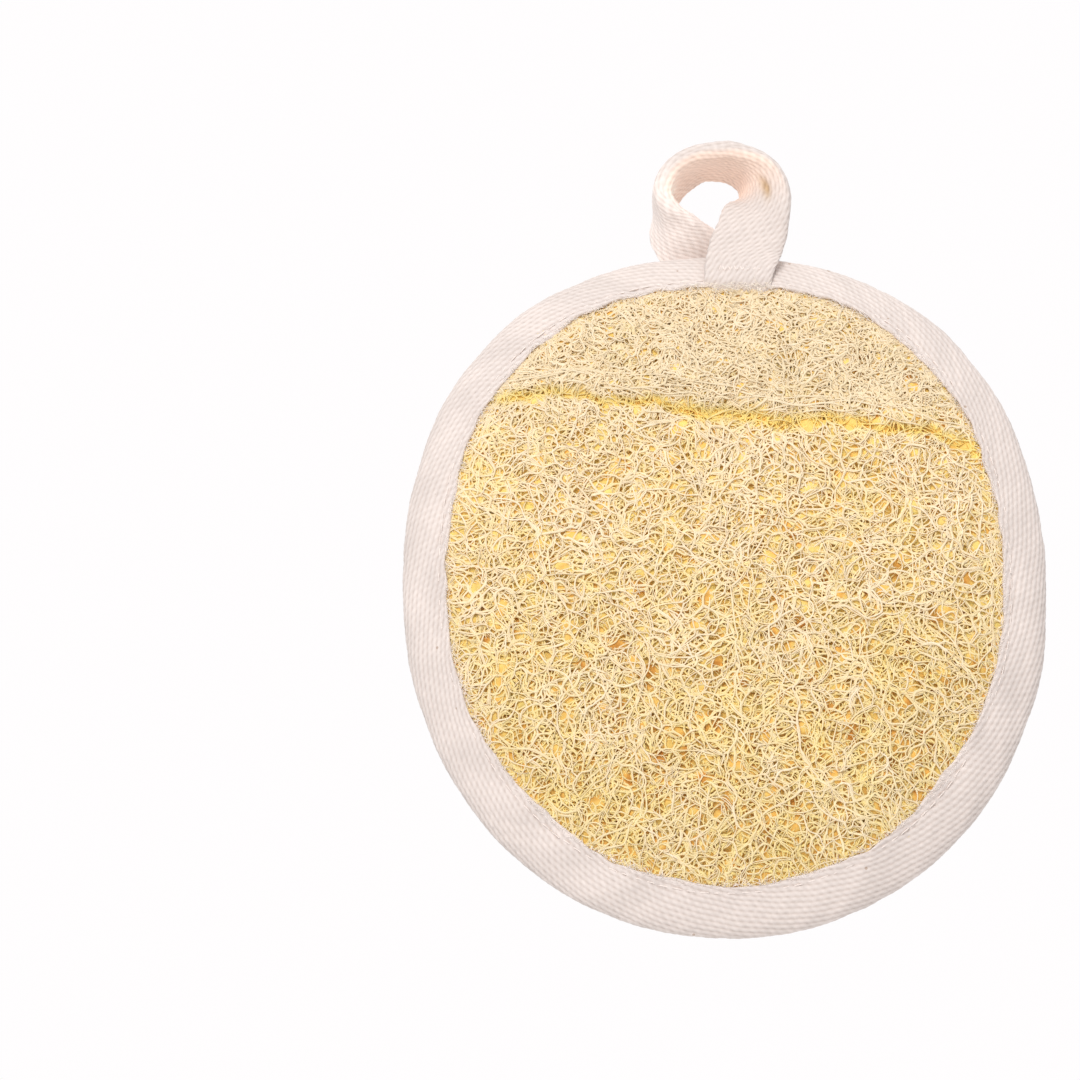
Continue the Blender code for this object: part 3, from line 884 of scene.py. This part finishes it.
# ---------------------------------------------------------------- terry, wadding, stitches
def strap_dent(x, z, inset):
    beside = (np.abs(x) > HALF_W / 2).astype(float)
    along = 1 - ease((np.abs(z - STRAP_Z) - STRAP_WIDTH / 2 - 1.5) / 5.0)
    return 2.4 * along * beside * (1 - ease((inset - 11.5) / 9.0))


def terry_height(x, z):
    inset = inset_of(x, z)
    high = dome(inset, TERRY_EDGE, TERRY_TOP, 3.0)
    calm = ease((inset - HEM) / 8)
    return high - strap_dent(x, z, inset) + calm * 0.3 * waves(x, z, 91, 24)


TERRY_PITCH = 1.02  # between loops of the pile
PILE_ROOT, GROUND_DEPTH = 0.72, 0.42  # below the pile's mean surface


def terry_loops(name, seed, first):
    """Loops of the pile on every third row of an even weave, from the first."""
    rng = np.random.default_rng(seed)
    columns, rows = np.arange(-75, 76), np.arange(-95 + first, 96, 3)
    col, row = (a.reshape(-1) for a in np.meshgrid(columns, rows))
    x = (col + 0.5 * (row % 2)) * TERRY_PITCH + rng.uniform(-0.34, 0.34, len(col))
    z = row * TERRY_PITCH * 0.87 + CENTRE_Z + rng.uniform(-0.34, 0.34, len(col))
    inset = inset_of(x, z)
    under = (np.abs(x) > HALF_W - 16) & (np.abs(z - STRAP_Z) < STRAP_WIDTH / 2 + 1.5)
    inside = (np.abs(x) < HALF_W - 2) & (np.abs(z - CENTRE_Z) < HALF_H - 2)
    keep = (inset > 8.0) & inside & ~under
    x, z = x[keep], z[keep]
    turn = rng.uniform(0, 2 * np.pi, len(x))
    wide, tall = rng.uniform(0.45, 0.75, len(x)), rng.uniform(0.5, 0.85, len(x))
    lean = rng.normal(0, 0.35, (len(x), 2))
    t = np.linspace(-0.15, 1.15, 7) * np.pi
    out = np.cos(t)[None] * wide[:, None]
    up = np.sin(t)[None] * tall[:, None]
    px = x[:, None] + out * np.cos(turn)[:, None] + up * lean[:, :1]
    pz = z[:, None] + out * np.sin(turn)[:, None] + up * lean[:, 1:]
    base = terry_height(x, z)[:, None] - PILE_ROOT
    paths = np.stack([px, base + up, pz], axis=-1)
    radii = np.full((len(x), 7), 0.24) * rng.uniform(0.85, 1.2, (len(x), 1))
    tint = np.array([0.97, 0.905, 0.86]) * (1 + rng.normal(0, 0.015, (len(x), 1, 1)))
    # painted shade: each loop is darker towards its root, down in the pile
    low = np.clip(up / 1.1, -0.1, 1)[..., None]
    tint = tint * (0.9 + 0.1 * low) * np.ones((len(x), 7, 3))
    return tubes(name, list(paths), list(radii), list(tint), sides=3, ref=ACROSS)


def stitches(name, side, seed):
    """One run of stitches round the seam, each a short thread that dips into the tape at both ends."""
    rng = np.random.default_rng(seed)
    fine, run = distance_round(SEAM, 4001)
    count = round(run[-1] / STITCH)
    surface = SEAM_FRONT if side < 0 else SEAM_BACK
    paths, radii = [], []
    for i in range(count):
        at = (i + 0.5) * run[-1] / count + rng.normal(0, 0.06)
        d = np.linspace(-1.15, 1.15, 6) + at
        angle = np.interp(d, run, fine, period=run[-1])
        x, z = outline(angle, SEAM + rng.normal(0, 0.05))
        y = side * (surface - 0.06 - 0.34 * (np.abs(np.linspace(-1, 1, 6)) ** 3))
        paths.append(np.stack([x, y, z], axis=-1))
        radii.append(np.full(6, THREAD))
    return tubes(name, paths, radii)


def lint(name, roots, headings, seed, colour, radius=0.045, reach=(0.8, 2.0)):
    """Loose cotton hairs that start at the roots and wander off along their headings."""
    rng = np.random.default_rng(seed)
    paths, radii, tint = [], [], []
    for root, heading in zip(roots, headings):
        way = heading / (np.linalg.norm(heading) + 1e-9)
        curl = rng.normal(0, 0.55, 3)
        t = np.linspace(0, rng.uniform(*reach), 6)[:, None]
        paths.append(root + way * t + curl * t**2 * 0.35)
        radii.append(np.full(6, radius * rng.uniform(0.7, 1.2)))
        tint.append(np.tile(colour * rng.uniform(0.94, 1.04), (6, 1)))
    return tubes(name, paths, radii, tint, sides=3, ref=ACROSS)


def hem_lint():
    rng = np.random.default_rng(601)
    angle = rng.uniform(0, 2 * np.pi, 1500)
    x, z = outline(angle, 9.2 + rng.normal(0, 0.22, len(angle)))
    roots = np.column_stack([x, np.full(len(x), -6.95) + rng.normal(0, 0.12, len(x)), z])
    inward = np.column_stack([-x, np.zeros(len(x)), CENTRE_Z - z])
    inward /= np.linalg.norm(inward, axis=1, keepdims=True)
    along = np.column_stack([-inward[:, 2], np.zeros(len(x)), inward[:, 0]])
    heading = 0.5 * inward + along * rng.normal(0, 1.0, (len(x), 1)) + np.array([0, -0.12, 0])
    return lint("binding_lint", roots, heading, 602, LINT, 0.045, (0.7, 1.8))


def foot_lint():
    rng = np.random.default_rng(603)
    count = 280
    front = np.arange(count) < 120
    x = np.where(front, rng.uniform(-8.0, 12.5, count), rng.uniform(-7.0, 8.2, count))
    z = np.where(front, -32.3, -30.4) + rng.normal(0, 0.6, count)
    y = np.where(front, -7.5, 6.0) - 0.25 * rng.uniform(size=count) * np.where(front, 1, -1)
    roots = np.column_stack([x, y, z])
    out = rng.normal(0.1, 0.2, count) * np.where(front, -1, 1)
    heading = np.column_stack([rng.normal(0, 0.8, count), out, rng.normal(-0.5, 0.5, count)])
    return lint("loop_lint", roots, heading, 604, LINT * np.array([1.0, 0.99, 0.93]), 0.06, (0.8, 2.2))


def tack():
    points = []
    for i in range(15):
        z = TACK_Z + 1.6 * (0.5 if i % 2 else -0.5)
        points.append((TACK_X + 9.0 * (i / 14 - 0.5), -6.35 + 0.45 * (z - TACK_Z) - 0.5, z))
    path, _ = curve_through(points, 110)
    return tubes("bar_tack", [path], [np.full(len(path), THREAD)])


# ---------------------------------------------------------------- materials
def add(tree, kind, **values):
    """A shader node of that kind, with these values set on its inputs."""
    node = tree.nodes.new("ShaderNode" + kind)
    for key, value in values.items():
        node.inputs[key.replace("_", " ")].default_value = value
    return node


def maths(tree, operation, first, second):
    """The outcome of a math node on a socket and a socket or number."""
    node = add(tree, "Math")
    node.operation = operation
    tree.links.new(first, node.inputs[0])
    if isinstance(second, float):
        node.inputs[1].default_value = second
    else:
        tree.links.new(second, node.inputs[1])
    return node.outputs[0]


def with_flecks(tree, where, colour, share):
    """The colour with small dark seed flecks in that share of its cells."""
    cells = add(tree, "TexVoronoi", Scale=240.0)
    tree.links.new(where, cells.inputs["Vector"])
    parts = add(tree, "SeparateColor")
    tree.links.new(cells.outputs["Color"], parts.inputs[0])
    near = maths(tree, "LESS_THAN", cells.outputs["Distance"], 0.085)
    chosen = maths(tree, "GREATER_THAN", parts.outputs[0], 1.0 - share)
    amount = maths(tree, "MULTIPLY", maths(tree, "MULTIPLY", near, chosen), 0.6)
    mix = add(tree, "Mix")
    mix.data_type = "RGBA"
    tree.links.new(amount, mix.inputs["Factor"])
    tree.links.new(colour, mix.inputs[6])
    mix.inputs[7].default_value = (0.36, 0.22, 0.13, 1.0)
    return mix.outputs[2]


def material(name, rough, base=None, mottle=(900.0, 0.06), bump=(2600.0, 0.25, 0.00012), flecks=0.0,
             sheen=0.0):
    """Cloth or fibre: its base colour or the piece's own tint, a soft mottle, a few flecks and fine bumps."""
    look = bpy.data.materials.new(name)
    look.use_nodes = True
    tree = look.node_tree
    link = tree.links.new
    shader = tree.nodes["Principled BSDF"]
    shader.inputs["Roughness"].default_value = rough
    shader.inputs["Specular IOR Level"].default_value = 0.25
    shader.inputs["Sheen Weight"].default_value = sheen
    shader.inputs["Sheen Roughness"].default_value = 0.6
    where = add(tree, "TexCoord").outputs["Object"]
    if base is None:
        own = add(tree, "Attribute")
        own.attribute_name = "tint"
    else:
        own = add(tree, "RGB")
        own.outputs[0].default_value = (*base, 1.0)
    cloud = add(tree, "TexNoise", Scale=mottle[0], Detail=3.0)
    link(where, cloud.inputs["Vector"])
    low, high = 1.0 - mottle[1], 1.0 + mottle[1]
    shift = add(tree, "MapRange", From_Min=0.25, From_Max=0.75, To_Min=low, To_Max=high)
    link(cloud.outputs["Fac"], shift.inputs["Value"])
    scaled = add(tree, "VectorMath")
    scaled.operation = "SCALE"
    link(own.outputs[0], scaled.inputs[0])
    link(shift.outputs["Result"], scaled.inputs["Scale"])
    colour = scaled.outputs["Vector"]
    if flecks:
        colour = with_flecks(tree, where, colour, flecks)
    link(colour, shader.inputs["Base Color"])
    grain = add(tree, "TexNoise", Scale=bump[0], Detail=2.0)
    link(where, grain.inputs["Vector"])
    relief = add(tree, "Bump", Strength=bump[1], Distance=bump[2])
    link(grain.outputs["Fac"], relief.inputs["Height"])
    link(relief.outputs["Normal"], shader.inputs["Normal"])
    return look


def finish_piece(obj, look):
    obj.data.materials.append(look)
    return obj


# ---------------------------------------------------------------- build
fibre_look = material("loofah_fibre", 0.7, mottle=(700.0, 0.06))
bed_look = material("loofah_bed", 0.75, mottle=(500.0, 0.16), bump=(900.0, 0.5, 0.0006))
binding_look = material("binding_twill", 0.9, flecks=0.2, sheen=0.25)
loop_look = material("loop_twill", 0.9, flecks=0.12, sheen=0.25)
strap_look = material("strap_twill", 0.9, flecks=0.15, sheen=0.25)
pile_look = material("terry_pile", 0.95, sheen=0.3)
ground_look = material("terry_ground", 0.95, base=(0.95, 0.88, 0.83), bump=(1500.0, 0.6, 0.0004))
lint_look = material("cotton_lint", 0.95)
wadding_look = material("wadding", 0.95, base=(0.86, 0.84, 0.80))
thread_look = material("sewing_thread", 0.8, base=(0.86, 0.77, 0.72), bump=(3500.0, 0.4, 0.0001))

BED = 0.98  # depth of the bed under the loofah's surface


def loofah_bed_front(x, z):
    inset = inset_of(x, z)
    groove, _ = fold_depth(x, z)
    deep = (BED - 0.15 * groove) * (0.35 + 0.65 * ease((inset - 8) / 8))
    return -np.maximum(loofah_height(x, z) - deep + 0.35 * waves(x, z, 21, 4.5) * ease((inset - 10) / 6), 0.6)


def loofah_bed_back(x, z):
    return -(0.3 + 1.1 * ease((inset_of(x, z) - 10) / 14))


def bed_tint(x, z, is_back):
    drift = waves(x, z, 22, 3.2) * 0.5 + waves(x, z, 23, 9) * 0.4
    groove, _ = fold_depth(x, z)
    # painted shade: the bed deepens to orange and brown low on the pad and in the net's holes, and is kept
    # yellower in the fold to paint its shaded band
    low = 0.5 * ease((CENTRE_Z + 20 - z) / 70) - 0.1
    deep = np.clip(0.3 + low + 0.6 * drift - 0.25 * groove + 1.3 * holes(x, z - CENTRE_Z), 0, 2)
    # painted shade: the bed is darker towards the bottom
    share = 1.0 - 0.16 * ease((CENTRE_Z + 30 - z) / 50)[:, None]
    return share * between(deep, (0, 1, 2), (YELLOW, ORANGE, BROWN))


bed = polar_shell("loofah_bed", (96, 20), 400, loofah_bed_front, loofah_bed_back, bed_tint)
finish_piece(bed, bed_look)
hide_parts("loofah_panel")

nets = [
    *fibre_net("loofah_net_base", 301, 2.1, 0.66, 0.2, 0.28, sides=3),
    *fibre_net("loofah_net_deep", 302, 2.3, 0.48, 0.22, 0.25, sides=3),
    *fibre_net("loofah_net_middle", 303, 2.5, 0.3, 0.26, 0.225),
    *fibre_net("loofah_net_upper", 304, 2.8, 0.15, 0.4, 0.21, stretch=1.6, span=2),
    *fibre_net("loofah_net_top", 305, 3.6, 0.02, 0.4, 0.205, stretch=1.9, span=2),
    long_strands("loofah_strands", 306, 640, 0.2),
    lip_strands("loofah_lip", 307, 46, 0.22),
    short_rungs("loofah_rungs", 308, 3600, 0.16, 0.9),
]
for net in nets:
    finish_piece(net, fibre_look)


def core_front(x, z):
    return -(0.1 + 1.1 * np.clip((inset_of(x, z) - 12) / 12, 0, 1))


def core_back(x, z):
    return 0.9 + 2.5 * np.clip((inset_of(x, z) - 12) / 12, 0, 1)


def terry_front(x, z):
    inset = inset_of(x, z)
    return 0.3 + np.clip((inset - 10) / 2, 0, 1) + 2.45 * np.clip((inset - 12) / 12, 0, 1)


def terry_back(x, z):
    return terry_height(x, z) - GROUND_DEPTH + 0.12 * waves(x, z, 92, 1.6)


core = polar_shell("wadding_core", (24, 24), 120, core_front, core_back, rim=12.2)
finish_piece(core, wadding_look)
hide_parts("padding_core")

terry = polar_shell("terry_ground", (20, 110), 430, terry_front, terry_back)
finish_piece(terry, ground_look)
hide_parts("terry_panel")
for i in range(3):
    finish_piece(terry_loops(f"terry_pile_{i + 1}", 401 + i, i), pile_look)

binding = finish_piece(edge_binding(), binding_look)
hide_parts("edge_binding")
for make, slot in ((hem_lint, "binding"), (foot_lint, "loop")):
    finish_piece(make(), lint_look)

seams = [stitches("front_stitches", -1, 501), stitches("back_stitches", 1, 502)]
for seam, node in zip(seams, ("front_topstitch", "back_topstitch")):
    finish_piece(seam, thread_look)
    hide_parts(node)
bar = finish_piece(tack(), thread_look)
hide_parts("loop_tack")

loop = finish_piece(hanging_loop(), loop_look)
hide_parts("hanging_loop")
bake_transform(loop)

strap = finish_piece(hand_strap(), strap_look)
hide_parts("hand_strap")
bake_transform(strap)


# ---------------------------------------------------------------- camera, light and floor
LENS, SENSOR = 244.8, 36.0  # millimetres
TILT, ROLL = math.radians(22.0), math.radians(0.9)
CAMERA_DISTANCE, CAMERA_LEFT, CAMERA_UP = 1.6, 0.04022, 0.01136  # metres, from the pad's middle
FLOOR_Z, FLOOR_HALF = -0.95, 4.0
WARM = (1.0, 0.99, 0.975)
LIGHTS_AIM = Vector((0, 0, -0.1))
WORLD_LIGHT, WORLD_SEEN = 0.72, 1.0  # the backdrop is seen white and lights the pad a little less


def camera():
    """A long lens a little above the pad's middle, with the pad right of the frame's centre."""
    right0 = Vector((1, 0, 0))
    up0 = Vector((0, -math.sin(TILT), math.cos(TILT)))
    right = right0 * math.cos(ROLL) - up0 * math.sin(ROLL)
    up = right0 * math.sin(ROLL) + up0 * math.cos(ROLL)
    back = right.cross(up)
    middle = Vector((0, 0, CENTRE_Z * MM)) - right * CAMERA_LEFT + up * CAMERA_UP
    data = bpy.data.cameras.new("camera")
    data.lens, data.sensor_width = LENS, SENSOR
    obj = bpy.data.objects.new("camera", data)
    turn = Matrix((right, up, back)).transposed().to_4x4()
    obj.matrix_world = Matrix.Translation(middle + back * CAMERA_DISTANCE) @ turn
    bpy.context.scene.collection.objects.link(obj)
    bpy.context.scene.camera = obj


def area_light(name, at, size, power, colour):
    """A round soft light that faces the pad's middle, in metres and watts."""
    data = bpy.data.lights.new(name, "AREA")
    data.shape, data.size, data.energy, data.color = "DISK", size, power, colour
    obj = bpy.data.objects.new(name, data)
    obj.location = at
    obj.rotation_euler = (Vector(at) - LIGHTS_AIM).to_track_quat("Z", "Y").to_euler()
    bpy.context.scene.collection.objects.link(obj)


def surroundings():
    """White world light, a plain floor well below the pad and four soft lights."""
    world = bpy.data.worlds.new("studio")
    world.use_nodes = True
    tree = world.node_tree
    sky = tree.nodes["Background"]
    sky.inputs["Color"].default_value = (1.0, 0.985, 0.99, 1.0)
    path = tree.nodes.new("ShaderNodeLightPath")
    level = tree.nodes.new("ShaderNodeMapRange")
    level.inputs["To Min"].default_value = WORLD_LIGHT
    level.inputs["To Max"].default_value = WORLD_SEEN
    tree.links.new(path.outputs["Is Camera Ray"], level.inputs["Value"])
    tree.links.new(level.outputs["Result"], sky.inputs["Strength"])
    bpy.context.scene.world = world
    mesh = bpy.data.meshes.new("floor")
    corners = ((-FLOOR_HALF, -FLOOR_HALF), (FLOOR_HALF, -FLOOR_HALF), (FLOOR_HALF, FLOOR_HALF),
               (-FLOOR_HALF, FLOOR_HALF))
    mesh.from_pydata([(x, y, FLOOR_Z) for x, y in corners], [], [(0, 1, 2, 3)])
    floor = bpy.data.objects.new("floor", mesh)
    bpy.context.scene.collection.objects.link(floor)
    paint = material("floor_paint", 0.9, (0.85, 0.85, 0.85), (3.0, 0.01), (50.0, 0.02, 0.0005))
    mesh.materials.append(paint)
    area_light("front", (-0.35, -1.4, 0.45), 0.8, 13.0, WARM)
    area_light("back", (0.4, 1.45, 0.2), 0.8, 12.0, WARM)
    area_light("top", (0.1, -0.3, 1.2), 0.9, 3.0, (1.0, 1.0, 1.0))
    area_light("under", (0.0, -0.5, -0.85), 0.7, 0.8, (1.0, 0.97, 0.95))


camera()
surroundings()
scene = bpy.context.scene
scene.view_settings.view_transform = "Standard"
scene.view_settings.look = "None"
scene.cycles.diffuse_bounces = 10
